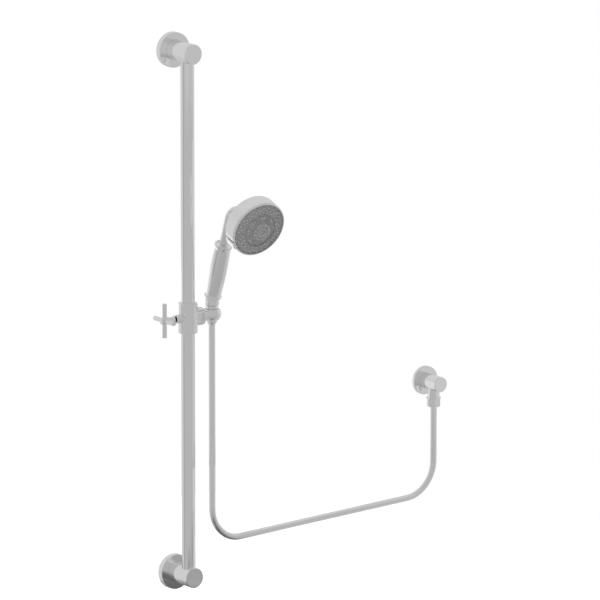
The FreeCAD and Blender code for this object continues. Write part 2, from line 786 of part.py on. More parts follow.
def crossbar(name, role):
    """One bar of the cross handle, across the clamp's axis."""
    body = new_body(name, "slider")
    sketch = new_sketch(body, f"{name}_circle", role)
    circles(sketch, "arm_diameter", [("-arm_place", "0")])
    pad = body.newObject("PartDesign::Pad", f"{name}_pad")
    pad.Profile = sketch
    pad.SideType = "Symmetric"
    bind(pad, "Length", "arm_span")
    return body


def holder():
    """The tilting holder: hub on the pivot, slotted cup, nylon liner, screw and washer."""
    half = "holder_height / 2"
    low_radius = cone_radius(f"-{half}", f"{LINER_SPACE} + holder_rim")
    high_radius = cone_radius(half, f"{LINER_SPACE} + holder_rim")
    half_chord = f"sqrt(({half})^2 + (({high_radius}) - ({low_radius}))^2 / 4)"
    ball_radius = f"({half_chord}^2 + holder_bulge^2) / (2 * holder_bulge)"
    ball = turned("HolderCup", "holder", [
        ("0", f"-{half}"),
        (low_radius, f"-{half}"),
        (high_radius, half, (ball_radius, 1)),
        ("0", half),
    ])
    hub_foot = "pivot_boss_reach + pivot_washer_thickness + face_gap"
    hub_top = f"{hub_foot} + pivot_hub_thickness"
    groove_start = f"{hub_foot} + hub_land_width"
    groove_end = f"{hub_foot} + hub_land_width + pivot_groove_width"
    groove_radius = "pivot_boss_diameter / 2 - pivot_groove_depth"
    hub = turned("HolderHub", "pivot", [
        ("0", hub_foot),
        ("pivot_boss_diameter / 2", hub_foot),
        ("pivot_boss_diameter / 2", groove_start),
        (groove_radius, groove_start),
        (groove_radius, groove_end),
        ("pivot_boss_diameter / 2", groove_end),
        ("pivot_boss_diameter / 2", f"{hub_top} - pivot_hub_round"),
        ("pivot_boss_diameter / 2 - pivot_hub_round", hub_top, ("pivot_hub_round", 1)),
        ("pivot_shank_diameter / 2", hub_top),
        ("pivot_shank_diameter / 2", "holder_reach - pivot_shank_gap"),
        ("0", "holder_reach - pivot_shank_gap"),
    ])
    past = f"({half} + edge)"
    cone = turned("HolderBore", "holder", [
        ("0", f"-{past}"),
        (cone_radius(f"-{past}", LINER_SPACE), f"-{past}"),
        (cone_radius(past, LINER_SPACE), past),
        ("0", past),
    ])
    slot_half = "(hose_diameter / 2 + holder_slot_gap)"
    slot = prism("HolderSlot", "holder", [
        ("0", f"-{slot_half}"),
        ("holder_reach", f"-{slot_half}"),
        ("holder_reach", slot_half),
        ("0", slot_half),
    ], f"-{past}", past)
    head_space = cone_radius("screw_head_diameter / 2", f"{LINER_SPACE} + screw_gap + screw_head_thickness")
    screw_seat = f"(holder_reach - ({head_space}))"
    passage = turned("HolderPassage", "pivot", [
        ("0", f"{hub_foot} - edge"),
        ("pivot_screw_diameter / 2 + fit_gap", f"{hub_foot} - edge"),
        ("pivot_screw_diameter / 2 + fit_gap", f"{screw_seat} - face_gap"),
        ("screw_head_diameter / 2 + run_gap", f"{screw_seat} - face_gap"),
        ("screw_head_diameter / 2 + run_gap", "holder_reach"),
        ("0", "holder_reach"),
    ])
    keep("holder_cup", cut("HolderBored", fused("HolderCast", [ball, hub]), [cone, slot, passage]))

    lining = turned("HolderLining", "holder", [
        (cone_radius(f"-{half}", "fit_gap"), f"-{half}"),
        (cone_radius(f"-{half}", "fit_gap + holder_liner_wall"), f"-{half}"),
        (cone_radius(half, "fit_gap + holder_liner_wall"), half),
        (cone_radius(half, "fit_gap"), half),
    ])
    keep("holder_liner", cut("HolderLiner", lining, [slot]))

    thread_foot = "pivot_boss_reach - pivot_thread_length"
    keep("pivot_screw", turned("PivotScrew", "pivot", [
        ("0", thread_foot),
        ("pivot_thread_diameter / 2", thread_foot),
        ("pivot_thread_diameter / 2", "pivot_boss_reach"),
        ("pivot_screw_diameter / 2", "pivot_boss_reach"),
        ("pivot_screw_diameter / 2", screw_seat),
        ("screw_head_diameter / 2", screw_seat),
        ("screw_head_diameter / 2", f"{screw_seat} + screw_head_thickness"),
        ("0", f"{screw_seat} + screw_head_thickness"),
    ]))
    keep("pivot_washer", turned("PivotWasher", "pivot", ring_profile(
        "pivot_screw_diameter + 2 * fit_gap", "pivot_boss_diameter - 2 * pivot_groove_depth",
        "pivot_boss_reach", "pivot_boss_reach + pivot_washer_thickness")))


def grip():
    """The hand shower's threaded base, trim ring, grip, collar and inner tube."""
    tip = "cone_rise - cone_thread_length"
    radius = "base_diameter / 2"
    knuckle = turned("BaseBlank", "holder", [
        ("base_bore / 2", tip),
        ("thread_diameter / 2", tip),
        ("thread_diameter / 2", "cone_rise + base_gap"),
        (f"{radius} - base_bevel", "cone_rise + base_gap"),
        (radius, "cone_rise + base_gap + base_bevel"),
        (radius, "knuckle_rise"),
        ("base_bore / 2", f"knuckle_rise + sqrt(({radius})^2 - (base_bore / 2)^2)", (radius, 1)),
    ])
    lean_bore = turned("BaseLeanBore", "handle", rod_profile("base_bore", "0", "base_diameter"))
    keep("handset_base", cut("HandsetBase", knuckle, [lean_bore]))

    seat_radius = f"({radius} + fit_gap)"
    seat_outer = f"sqrt({seat_radius}^2 - ring_start^2)"
    seat_inner = f"sqrt({seat_radius}^2 - (ring_hole / 2)^2)"
    keep("lower_trim_ring", turned("LowerTrimRing", "handle", [
        (seat_outer, "ring_start", (seat_radius, -1)),
        (radius, "ring_start"),
        ("ring_lip_diameter / 2", "ring_lip_start"),
        ("ring_lip_diameter / 2", "ring_lip_end"),
        ("grip_end_diameter / 2", "grip_start"),
        ("ring_hole / 2", "grip_start"),
        ("ring_hole / 2", seat_inner),
    ]))

    length = "(grip_end - grip_start)"
    belly = "(grip_belly_diameter - grip_end_diameter) / 2"
    belly_radius = f"(({length} / 2)^2 + ({belly})^2) / (2 * {belly})"
    keep("grip_barrel", turned("GripBarrel", "handle", [
        ("grip_bore / 2", "grip_start"),
        ("grip_end_diameter / 2", "grip_start"),
        ("grip_end_diameter / 2", "grip_end", (belly_radius, 1)),
        ("grip_bore / 2", "grip_end"),
    ]))
    rim_inside = "collar_rim_diameter / 2 - collar_rim_wall"
    keep("upper_collar", turned("UpperCollar", "handle", [
        ("neck_diameter / 2 + fit_gap", "grip_end"),
        ("grip_end_diameter / 2", "grip_end"),
        ("collar_rim_diameter / 2", COLLAR_RIM_START),
        ("collar_rim_diameter / 2", COLLAR_RIM_END),
        (rim_inside, COLLAR_RIM_END),
        (rim_inside, f"{COLLAR_RIM_END} - collar_recess"),
        ("neck_diameter / 2 + fit_gap", f"{COLLAR_RIM_END} - collar_recess"),
    ]))
    keep("water_tube", turned("WaterTube", "handle", ring_profile(
        "base_bore", "tube_diameter", "grip_start", NECK_START)))


def neck():
    """The bent tube that carries the head on the grip."""
    turn = "(90 + head_droop - handle_lean)"
    setback = f"neck_bend * tan({turn} / 2)"
    bend_foot = f"neck_rise - {setback}"
    along = "(head_reach - neck_seat)"
    body = new_body("Neck", "handle")
    spine = new_sketch(body, "Neck_spine", "YZ_Plane")
    draw(spine, [
        ("0", NECK_START),
        ("0", bend_foot),
        (f"-neck_bend * (1 - cos({turn}))", f"{bend_foot} + neck_bend * sin({turn})", ("neck_bend", 1)),
        (f"-{along} * sin({turn})", f"neck_rise + {along} * cos({turn})"),
    ], closed=False)
    section = new_sketch(body, "Neck_section", "XY_Plane", NECK_START)
    circles(section, "neck_diameter", [("0", "0")])
    inner = new_sketch(body, "Neck_bore", "XY_Plane", NECK_START)
    circles(inner, "neck_bore", [("0", "0")])
    pipe = body.newObject("PartDesign::AdditivePipe", "Neck_pipe")
    pipe.Profile = section
    pipe.Spine = spine
    hollow = body.newObject("PartDesign::SubtractivePipe", "Neck_hollow")
    hollow.Profile = inner
    hollow.Spine = spine
    keep("neck", body)


def head():
    """The hand shower head: shell, selector, spray plate, nozzle mat, centre disc and seal."""
    radius = "shell_diameter / 2"
    inside = "shell_diameter / 2 - shell_wall"
    corner = "-(shell_depth - shell_round)"
    back_inside = "-(shell_depth - shell_wall)"
    keep("head_shell", turned("HeadShell", "head", [
        (inside, "0"),
        (inside, corner),
        (f"{radius} - shell_round", back_inside),
        ("neck_bore / 2", back_inside),
        ("neck_bore / 2", "-neck_seat"),
        ("neck_diameter / 2 + fit_gap", "-neck_seat"),
        ("neck_diameter / 2 + fit_gap", "-socket_end"),
        ("socket_diameter / 2", "-socket_end"),
        ("socket_diameter / 2", "-socket_start"),
        ("dome_diameter / 2", "-(shell_depth + dome_rise)"),
        (f"{radius} - shell_round", "-shell_depth"),
        (radius, corner, ("shell_round", 1)),
        (radius, "0"),
    ]))

    skirt = f"{inside} - run_gap"
    front = "run_gap + selector_rim_thickness"
    rim = turned("SelectorRim", "head", [
        (SELECTOR_BORE, "-selector_depth"),
        (skirt, "-selector_depth"),
        (skirt, "run_gap"),
        (SELECTOR_RIM, "run_gap"),
        (SELECTOR_RIM, f"{front} - edge"),
        (f"{SELECTOR_RIM} - edge", front),
        (SELECTOR_BORE, front),
    ])
    low = f"{radius} + run_gap"
    high = f"{low} + lever_thickness"
    tab = prism("SelectorTab", "head", lever_outline(f"{SELECTOR_RIM} - edge", high),
                "run_gap", front)
    paddle = prism("SelectorPaddle", "head", lever_outline(low, high),
                   f"{front} - lever_length", front)
    keep("selector_ring", fused("SelectorRing", [rim, tab, paddle]))

    valve_back = "-(selector_depth + selector_disc_thickness)"
    valve = turned("SelectorPlate", "head", ring_profile(
        "plate_stem_diameter + 2 * run_gap", f"2 * {SELECTOR_BORE}", valve_back, "-selector_depth"))
    ports = rods("SelectorPort", "head", "port_diameter", port_centres(), f"{valve_back} - edge",
                 "-selector_depth + edge")
    keep("selector_disc", cut("SelectorDisc", valve, ports))

    mat_back = "(mat_edge_front - mat_thickness)"
    disc_back = f"({DISC_FRONT} - disc_thickness)"
    plate = turned("SprayPlate", "head", [
        ("0", back_inside),
        ("plate_stem_diameter / 2", back_inside),
        ("plate_stem_diameter / 2", "plate_dish - plate_back"),
        (f"{SELECTOR_BORE} - run_gap", "-plate_back"),
        (f"{SELECTOR_BORE} - run_gap", "plate_edge_front"),
        (f"{MAT_OUTSIDE} + fit_gap", "plate_edge_front"),
        (f"{MAT_OUTSIDE} + fit_gap", f"{mat_back} - {MAT_SLOPE} * fit_gap"),
        (f"{MAT_INSIDE} - fit_gap", f"{mat_back} + mat_rise + {MAT_SLOPE} * fit_gap"),
        (f"{MAT_INSIDE} - fit_gap", LIP_FRONT),
        (LIP_INSIDE, LIP_FRONT),
        (LIP_INSIDE, PLAIN_FRONT),
        (DISC_HOLE, f"{PLAIN_FRONT} + plain_rise"),
        (DISC_HOLE, disc_back),
        ("0", disc_back),
    ])
    pair_sides = ("-pair_pitch / 2", "pair_pitch / 2")
    pair = [("pair_inset", [(f"{LIP_INSIDE} - pair_inset", side) for side in pair_sides])]
    nozzles(plate, "Pair", pair, PLAIN_FRONT, PLAIN_SLOPE, "pair_count")
    keep("spray_plate", plate)

    mat = turned("NozzleMat", "head", [
        (MAT_OUTSIDE, mat_back),
        (MAT_OUTSIDE, "mat_edge_front"),
        (MAT_INSIDE, "mat_edge_front + mat_rise"),
        (MAT_INSIDE, f"{mat_back} + mat_rise"),
    ])
    mat_rows = staggered(MAT_OUTSIDE, "mat_outer_margin", "mat_width - mat_inner_margin",
                         "mat_rows", "mat_columns")
    nozzles(mat, "Mat", mat_rows, "mat_edge_front", MAT_SLOPE, "mat_columns")
    keep("nozzle_mat", mat)

    centre = turned("CentreDisc", "head", rod_profile("disc_diameter", disc_back, DISC_FRONT))
    disc_rows = staggered("disc_diameter / 2", "disc_outer_margin", "disc_diameter / 2 - disc_row_start",
                          "disc_rows", "disc_columns")
    nozzles(centre, "Disc", disc_rows, DISC_FRONT, "0", "disc_columns")
    keep("centre_disc", centre)

    keep("stem_seal", turned("StemSeal", "head", ring_profile(
        "plate_stem_diameter", "plate_stem_diameter + 2 * seal_section",
        "-seal_place - seal_section", "-seal_place")))


def lever_outline(near, far):
    """Corners of the selector's lever, seen along the head's axis, between two distances from it."""
    half = "lever_width / 2"
    return [lever_point(reach, side)
            for reach, side in ((near, f"-{half}"), (near, half), (far, half), (far, f"-{half}"))]


def lever_point(reach, side):
    """A point at the lever's angle from straight down, with a sideways step."""
    across = f"-({reach}) * sin(lever_angle) + ({side}) * cos(lever_angle)"
    up = f"-({reach}) * cos(lever_angle) - ({side}) * sin(lever_angle)"
    return (across, up)


def port_centres():
    angles = [f"{index} * 360 / port_count" for index in range(int(value("port_count")))]
    reach = f"({SELECTOR_BORE} - port_inset)"
    return [(f"{reach} * cos({angle})", f"{reach} * sin({angle})") for angle in angles]


def staggered(outside, first, last, rows, columns):
    """One column of nozzles: each row's step in from the outside, and its centre, by turns half a step on."""
    column = []
    for row in range(int(value(rows))):
        inset = f"({first} + {row} * (({last}) - ({first})) / ({rows} - 1))"
        reach = f"({outside} - {inset})"
        angle = f"{(row + 1) % 2} * 180 / {columns}"
        column.append((inset, [(f"{reach} * cos({angle})", f"{reach} * sin({angle})")]))
    return column


def hose():
    """The hose along its route: straight runs joined by arcs as large as the runs allow."""
    points = [FreeCAD.Vector(*point) for point in HOSE_ROUTE]
    edges = []
    start = points[0]
    for before, here, after in zip(points, points[1:], points[2:]):
        arriving = (here - before).normalize()
        leaving = (after - here).normalize()
        turn = arriving.getAngle(leaving)
        setback = ARC_SHARE * min((here - before).Length, (after - here).Length)
        radius = setback / math.tan(turn / 2)
        print(f"hose bend radius {radius:.1f} mm at turn {math.degrees(turn):.1f} degrees")
        arc_start = here - arriving * setback
        arc_end = here + leaving * setback
        inward = (leaving - arriving).normalize()
        middle = here + inward * (radius / math.cos(turn / 2) - radius)
        edges.append(Part.LineSegment(start, arc_start).toShape())
        edges.append(Part.Arc(arc_start, middle, arc_end).toShape())
        start = arc_end
    edges.append(Part.LineSegment(start, points[-1]).toShape())
    path = Part.Wire(edges)
    circle = Part.Circle(points[0], points[1] - points[0], value("hose_diameter") / 2)
    tube = doc.addObject("Part::Feature", "Hose")
    tube.Shape = path.makePipeShell([Part.Wire(circle.toShape())], True, False)
    section = math.pi / 4 * value("hose_diameter") ** 2
    print(f"hose length {path.Length:.1f} mm")
    print(f"hose volume {tube.Shape.Volume:.0f} of {section * path.Length:.0f} mm3")
    keep("hose", tube)


def build():
    rail()
    for side in ("lower", "upper"):
        bracket(side)
    grub_screws()
    elbow()
    hose_elbow_end()
    hose_cone_end()
    knob(slider())
    holder()
    grip()
    neck()
    head()
    hose()
    doc.recompute()


def write():
    """Check every object and write each piece to its own file."""
    for item in doc.Objects:
        if "Invalid" in item.State or "Error" in item.State:
            raise RuntimeError(f"{item.Name} ({item.Label}) failed: {item.State}")
    for item in nodes:
        if item.Shape.isNull() or not item.Shape.isValid():
            raise RuntimeError(f"{item.Label} has no valid shape")
    os.makedirs("parts", exist_ok=True)
    for item in nodes:
        item.Shape.exportStep(os.path.join("parts", f"{item.Label}.step"))
        print(f"{item.Label}: {len(item.Shape.Solids)} solid(s), {item.Shape.Volume / 1000:.2f} cm3")


build()
write()
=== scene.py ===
import json
import math

import bmesh
import bpy
from mathutils import Matrix, Vector


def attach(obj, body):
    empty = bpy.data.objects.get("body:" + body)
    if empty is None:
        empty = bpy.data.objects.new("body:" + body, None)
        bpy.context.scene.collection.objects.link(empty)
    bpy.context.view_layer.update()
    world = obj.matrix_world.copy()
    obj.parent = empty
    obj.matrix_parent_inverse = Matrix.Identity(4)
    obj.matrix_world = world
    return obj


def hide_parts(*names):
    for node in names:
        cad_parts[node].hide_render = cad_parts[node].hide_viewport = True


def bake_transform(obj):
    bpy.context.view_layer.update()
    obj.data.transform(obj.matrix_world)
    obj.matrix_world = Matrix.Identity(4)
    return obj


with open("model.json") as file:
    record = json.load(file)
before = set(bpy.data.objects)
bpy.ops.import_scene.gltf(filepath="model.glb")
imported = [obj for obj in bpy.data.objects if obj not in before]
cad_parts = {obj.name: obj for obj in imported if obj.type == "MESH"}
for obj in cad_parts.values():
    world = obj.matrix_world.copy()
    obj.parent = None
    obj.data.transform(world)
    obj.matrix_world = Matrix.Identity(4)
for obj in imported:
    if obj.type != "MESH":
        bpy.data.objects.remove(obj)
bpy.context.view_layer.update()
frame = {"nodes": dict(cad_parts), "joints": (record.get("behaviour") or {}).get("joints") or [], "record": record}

# Shower slide rail in metres, in the frame of its solids: X along the wall, the wall at Y = 0, Z up.

# Camera: a long lens far off, to the left of the rail and a little above its middle.
CAMERA_AIM = Vector((0.2398, -0.060, 0.4858))
CAMERA_LEFT = math.radians(34.424)
CAMERA_ABOVE = math.radians(11.821)
CAMERA_DISTANCE = 14.438
CAMERA_LENS_MM = 475.48
CAMERA_SENSOR_MM = 36.0
CAMERA_CLIP = (0.5, 120.0)

# Hose: the corners of its hanging route, from the elbow's ferrule round to the cone nut.
# The points on the straight runs hold each run straight up to its corner.
HOSE_DIAMETER = 0.0118
HOSE_ROUTE = [
    (0.5596, -0.0314, 0.2266),
    (0.5596, -0.0314, 0.1671),
    (0.5596, -0.0314, 0.1150),
    (0.5236, -0.0329, 0.0773),
    (0.4716, -0.0350, 0.0749),
    (0.1415, -0.0484, 0.0599),
    (0.0895, -0.0505, 0.0575),
    (0.0520, -0.0520, 0.0935),
    (0.0520, -0.0520, 0.1455),
    (0.0520, -0.0520, 0.4616),
]
HOSE_LINE_ORDER = 3
HOSE_LINE_POINTS = 48
HOSE_RING_STEP = 0.006
HOSE_RING_POINTS = 32
# The levels on the rising run where the hose is cut into lengths, at the joints between one moving body and the
# next; the lengths are not given to the bodies.
HOSE_SWIVEL_LEVEL = 0.235
HOSE_TILT_LEVEL = 0.365
HOSE_RIGID_LEVEL = 0.452
# The stretch of the lower run that would follow the slider as it goes up and down; it is listed with the lower
# length but not used.
HOSE_SLIDE_START = (0.53, -0.033, 0.077)
HOSE_SLIDE_END = (0.09, -0.050, 0.058)

# The centre disc is a shade lighter than the plate of the same plastic, and the cup's lining is made dark as
# painted shade in the gaps at the cup's rims.
OWN_LOOKS = {"centre_disc": "disc_face", "holder_liner": "painted_shade_nylon"}

# Softened edges of the solids.
EDGE_ROUND = 0.0003
EDGE_SEGMENTS = 2
EDGE_ANGLE = math.radians(32.0)
WELD_REACH = 0.000002

# Spray face, about the head's axis: each edge is a radius and a height, and each face rises inward from it.
MAT_EDGE = (0.0496, 0.0006)
MAT_SLOPE = 0.0046 / 0.0168
PLAIN_EDGE = (0.0314, 0.0050)
PLAIN_SLOPE = 0.0055 / 0.01315
DISC_FACE = 0.0120
# Rings of nozzles: radius and share of a step.
MAT_RINGS = [(0.0480, 0.5), (0.0438, 0.0), (0.0396, 0.5), (0.0354, 0.0)]
MAT_COLUMNS = 24
DISC_RINGS = [(0.0144, 0.5), (0.0074, 0.0)]
DISC_COLUMNS = 12
PAIR_RADIUS = 0.0260
PAIR_PITCH = 0.0044
PAIR_COUNT = 8
NOZZLE_FOOT = 0.00150
NOZZLE_TIP = 0.00118
NOZZLE_HOLE = 0.00052
NOZZLE_HEIGHT = 0.00165
NOZZLE_SINK = 0.0008
NOZZLE_SIDES = 20
# A sleeve's flare where it is sunk in the face, the end of its foot, its shoulder and its flat rim, and the
# mouth and floor of its hole, as shares of the radii and the height above.
NOZZLE_FLARE = 1.12
NOZZLE_FOOT_END = 0.12
NOZZLE_SHOULDER = 1.04
NOZZLE_SHOULDER_HEIGHT = 0.88
NOZZLE_RIM = 0.9
NOZZLE_MOUTH = 1.2
NOZZLE_HOLE_FLOOR = 0.96
# The mat's soft lip beside the selector's rim and the plate's rounded bead inside the mat, each as a profile
# of radii and heights.
LIP_PROFILE = [(0.0490, 0.0006), (0.0498, 0.0021), (0.0501, 0.0022), (0.0502, 0.0020), (0.0502, -0.0002)]
BEAD_PROFILE = [(0.0312, 0.0054), (0.0314, 0.0061), (0.0319, 0.0064), (0.0324, 0.0064), (0.0328, 0.0061),
                (0.0329, 0.0052)]
TURNED_SIDES = 144

# Surfaces: the stretch of a noise that a value follows, and the stretch that a colour follows.
VALUE_STRETCH = (0.3, 0.7)
COLOUR_STRETCH = (0.35, 0.65)
# Scales of the noises: the broad change of a metal's polish, its fine waviness and the mottle of a plastic.
POLISH_SCALE = 38.0
WAVINESS_SCALE = 900.0
MOTTLE_SCALE = 120.0
RELIEF_DEPTH = 0.0002
# The hose's sleeve: its wound threads in two shades, their waver, and the polish and relief of its skin.
WINDING_SCALE = 1100.0
WINDING_WAVER = 0.4
WINDING_SHADES = ((0.912, 0.914, 0.916), (0.924, 0.926, 0.928))
SLEEVE_POLISH_SCALE = 60.0
SLEEVE_ROUGHNESS = (0.20, 0.26)
SLEEVE_RELIEF_SCALE = 700.0
SLEEVE_RELIEF = 0.001
SLEEVE_RELIEF_DEPTH = 0.0001

# Studio, as it is mirrored: a grey side in front of the set, to its left, and a lighter side behind.
# The one turns into the other over a stretch of the cosine from the front.
STUDIO_TURN = math.radians(34.4)
STUDIO_FRONT = Vector((-math.sin(STUDIO_TURN), -math.cos(STUDIO_TURN), 0.0))
STUDIO_FRONT_TONE = 0.482
STUDIO_BACK_TONE = 0.655
STUDIO_SIDE_STEP = (-0.2, 0.3)
# Towards the floor the studio falls to this share of its tone, over a stretch of the sine below the level.
STUDIO_LOW_SHARE = 0.86
STUDIO_LOW_STEP = (-0.75, -0.25)
# The even light on dull surfaces, and the white that is seen behind the set.
STUDIO_FILL_TONE = 0.7
STUDIO_WHITE = 1.0
# Painted reflections: these cards glow, light nothing and show only in the metal, painting light and shade into
# its reflections. shade_below paints the dark floor and its shadow under the set, as mirrored.
# Cards that are only seen mirrored: the place, the point faced, the span, the shares of the span where the
# inner tone ends and the outer tone starts, and those two tones.
PAINTED_REFLECTION_CARDS = {
    "shade_below": dict(
        place=(0.058, -0.07, -0.06), facing=(0.0586, -0.0691, 0.0), span=(0.30, 0.92),
        step=(0.22, 0.46), tones=(0.14, 0.40)),
    "painted_plain_under_cup": dict(
        place=(0.12, 0.02, 0.2), facing=(0.12, 0.02, 1.0), span=(0.20, 0.28),
        step=(0.2, 0.5), tones=(STUDIO_FRONT_TONE, STUDIO_FRONT_TONE)),
    "painted_shade_by_cap": dict(
        place=(0.14, -0.275, -0.05), facing=(0.0, -0.07, 0.0), span=(0.26, 0.22),
        step=(0.3, 0.5), tones=(0.366, 0.46)),
    "painted_light_by_top": dict(
        place=(0.14, -0.27, 0.91), facing=(0.0, -0.06, 0.96), span=(0.30, 0.30),
        step=(0.2, 0.5), tones=(0.535, STUDIO_FRONT_TONE)),
    "painted_light_by_rail": dict(
        place=(-0.16, -0.26, 0.99), facing=(0.0, -0.04, 0.965), span=(0.9, 0.5),
        step=(0.2, 0.5), tones=(0.56, STUDIO_FRONT_TONE)),
    "painted_light_by_elbow": dict(
        place=(0.70, -0.26, 0.24), facing=(0.56, -0.05, 0.287), span=(0.30, 0.30),
        step=(0.2, 0.5), tones=(0.60, STUDIO_FRONT_TONE)),
    "painted_light_behind_elbow": dict(
        place=(0.46, 0.12, 0.25), facing=(0.56, -0.03, 0.287), span=(0.26, 0.26),
        step=(0.2, 0.5), tones=(0.76, STUDIO_BACK_TONE)),
    "painted_light_behind_head": dict(
        place=(0.04, 0.18, 0.48), facing=(0.0, -0.18, 0.64), span=(0.42, 0.20),
        step=(0.2, 0.42), tones=(1.0, STUDIO_BACK_TONE)),
    "painted_shade_at_left": dict(
        place=(-1.72, 0.48, 0.08), facing=(0.2, -0.06, 0.08), span=(0.40, 3.0),
        step=(0.3, 0.5), tones=(0.29, 0.5)),
}

# Floor: a pale sheet below the set.
FLOOR_PLACE = (0.25, 0.3, -0.40)
FLOOR_HALF_WIDTH = 1.6
FLOOR_SHADES = ((0.93,) * 3, (0.95,) * 3)
FLOOR_MOTTLE_SCALE = 3.0
FLOOR_ROUGHNESS = 0.9

# Lamps: a large soft one at the front left, and a larger one above.
LAMPS = {
    "softbox": dict(place=(-1.6, -2.2, 2.6), aim=(0.2, -0.1, 0.5), size=(1.6, 1.6), power=60.0),
    "top_light": dict(place=(0.3, 0.6, 3.0), aim=(0.25, 0.0, -0.4), size=(2.4, 2.4), power=90.0),
}


def add_camera():
    """The view of the whole set."""
    lens = bpy.data.cameras.new("camera")
    lens.lens = CAMERA_LENS_MM
    lens.sensor_width = CAMERA_SENSOR_MM
    lens.sensor_fit = "HORIZONTAL"
    lens.clip_start, lens.clip_end = CAMERA_CLIP
    camera = bpy.data.objects.new("camera", lens)
    level = math.cos(CAMERA_ABOVE)
    back = Vector((-math.sin(CAMERA_LEFT) * level, -math.cos(CAMERA_LEFT) * level, math.sin(CAMERA_ABOVE)))
    camera.location = CAMERA_AIM + back * CAMERA_DISTANCE
    camera.rotation_euler = (-back).to_track_quat("-Z", "Y").to_euler()
    bpy.context.collection.objects.link(camera)
    bpy.context.scene.camera = camera


# Materials


def new_material(name, **sockets):
    """A material with one main shader, whose constant values are set on its own sockets."""
    material = bpy.data.materials.new(name)
    material.use_nodes = True
    shader = material.node_tree.nodes["Principled BSDF"]
    for socket, setting in sockets.items():
        shader.inputs[socket.replace("_", " ")].default_value = setting
    return material, material.node_tree, shader


def surface_noise(tree, scale, detail=3.0):
    """Noise laid through the object's own space."""
    place = tree.nodes.new("ShaderNodeTexCoord")
    noise = tree.nodes.new("ShaderNodeTexNoise")
    noise.inputs["Scale"].default_value = scale
    noise.inputs["Detail"].default_value = detail
    tree.links.new(place.outputs["Object"], noise.inputs["Vector"])
    return noise.outputs["Fac"]


def spread(tree, source, low, high):
    """A value between low and high that follows a source."""
    span = tree.nodes.new("ShaderNodeMapRange")
    span.inputs["From Min"].default_value, span.inputs["From Max"].default_value = VALUE_STRETCH
    span.inputs["To Min"].default_value = low
    span.inputs["To Max"].default_value = high
    tree.links.new(source, span.inputs["Value"])
    return span.outputs["Result"]


def tint(tree, source, low, high):
    """A colour between low and high that follows a source."""
    ramp = tree.nodes.new("ShaderNodeValToRGB")
    for element, position, shade in zip(ramp.color_ramp.elements, COLOUR_STRETCH, (low, high)):
        element.position = position
        element.color = (*shade, 1.0)
    tree.links.new(source, ramp.inputs["Fac"])
    return ramp.outputs["Color"]


def bump(tree, shader, source, strength, distance=RELIEF_DEPTH):
    """A fine relief that follows a source."""
    node = tree.nodes.new("ShaderNodeBump")
    node.inputs["Strength"].default_value = strength
    node.inputs["Distance"].default_value = distance
    tree.links.new(source, node.inputs["Height"])
    tree.links.new(node.outputs["Normal"], shader.inputs["Normal"])


def metal(name, colour, smooth, rough, wave=0.02):
    """Plated or bare metal: its polish varies a little, and its surface has a faint waviness."""
    material, tree, shader = new_material(name, Base_Color=(*colour, 1.0), Metallic=1.0)
    polish = surface_noise(tree, POLISH_SCALE, detail=4.0)
    tree.links.new(spread(tree, polish, smooth, rough), shader.inputs["Roughness"])
    bump(tree, shader, surface_noise(tree, WAVINESS_SCALE, detail=2.0), wave)
    return material


def moulded(name, dark, light, smooth, rough, grain, wave):
    """Moulded plastic or rubber: a faint mottle of two shades over a fine grain."""
    material, tree, shader = new_material(name)
    mottle = surface_noise(tree, MOTTLE_SCALE)
    tree.links.new(tint(tree, mottle, dark, light), shader.inputs["Base Color"])
    tree.links.new(spread(tree, mottle, smooth, rough), shader.inputs["Roughness"])
    bump(tree, shader, surface_noise(tree, grain, detail=4.0), wave)
    return material


def silver_sleeve():
    """The hose's smooth sleeve of fine wound silver threads."""
    material, tree, shader = new_material("silver_hose", Metallic=1.0)
    place = tree.nodes.new("ShaderNodeUVMap")
    wound = tree.nodes.new("ShaderNodeTexWave")
    wound.wave_type = "BANDS"
    wound.bands_direction = "DIAGONAL"
    wound.inputs["Scale"].default_value = WINDING_SCALE
    wound.inputs["Distortion"].default_value = WINDING_WAVER
    tree.links.new(place.outputs["UV"], wound.inputs["Vector"])
    tree.links.new(tint(tree, wound.outputs["Fac"], *WINDING_SHADES), shader.inputs["Base Color"])
    polish = surface_noise(tree, SLEEVE_POLISH_SCALE)
    tree.links.new(spread(tree, polish, *SLEEVE_ROUGHNESS), shader.inputs["Roughness"])
    relief = surface_noise(tree, SLEEVE_RELIEF_SCALE, detail=2.0)
    bump(tree, shader, relief, SLEEVE_RELIEF, SLEEVE_RELIEF_DEPTH)
    return material


def make_materials():
    """Every look of the set, by name: shades, then the range of roughness, then grain and relief."""
    return {
        "chrome": metal("chrome", (0.928, 0.929, 0.931), 0.08, 0.12),
        "plated_plastic": metal("plated_plastic", (0.922, 0.922, 0.924), 0.10, 0.15),
        "brass": metal("brass", (0.72, 0.56, 0.28), 0.25, 0.38, 0.1),
        "steel": metal("steel", (0.56, 0.56, 0.57), 0.22, 0.34, 0.1),
        "black_rubber": moulded("black_rubber", (0.012,) * 3, (0.022,) * 3, 0.5, 0.65, 1500.0, 0.2),
        "grey_silicone": moulded("grey_silicone", (0.175,) * 3, (0.215,) * 3, 0.42, 0.55, 2200.0, 0.15),
        "white_nylon": moulded("white_nylon", (0.78, 0.78, 0.76), (0.84, 0.84, 0.82), 0.4, 0.5, 900.0, 0.1),
        # Painted shade: the cup's lining, made dark so that the gaps at the cup's rims look shaded.
        "painted_shade_nylon": moulded("painted_shade_nylon", (0.03,) * 3, (0.045,) * 3, 0.4, 0.5, 900.0, 0.1),
        "dark_face": moulded("dark_face", (0.155,) * 3, (0.185,) * 3, 0.3, 0.4, 1200.0, 0.08),
        # The centre disc's lighter plastic, also laid on the plate's bead as a painted highlight.
        "disc_face": moulded("disc_face", (0.19,) * 3, (0.23,) * 3, 0.3, 0.4, 1200.0, 0.08),
        "nozzle_tip": moulded("nozzle_tip", (0.27,) * 3, (0.33,) * 3, 0.4, 0.5, 2200.0, 0.1),
        "silver_hose": silver_sleeve(),
    }


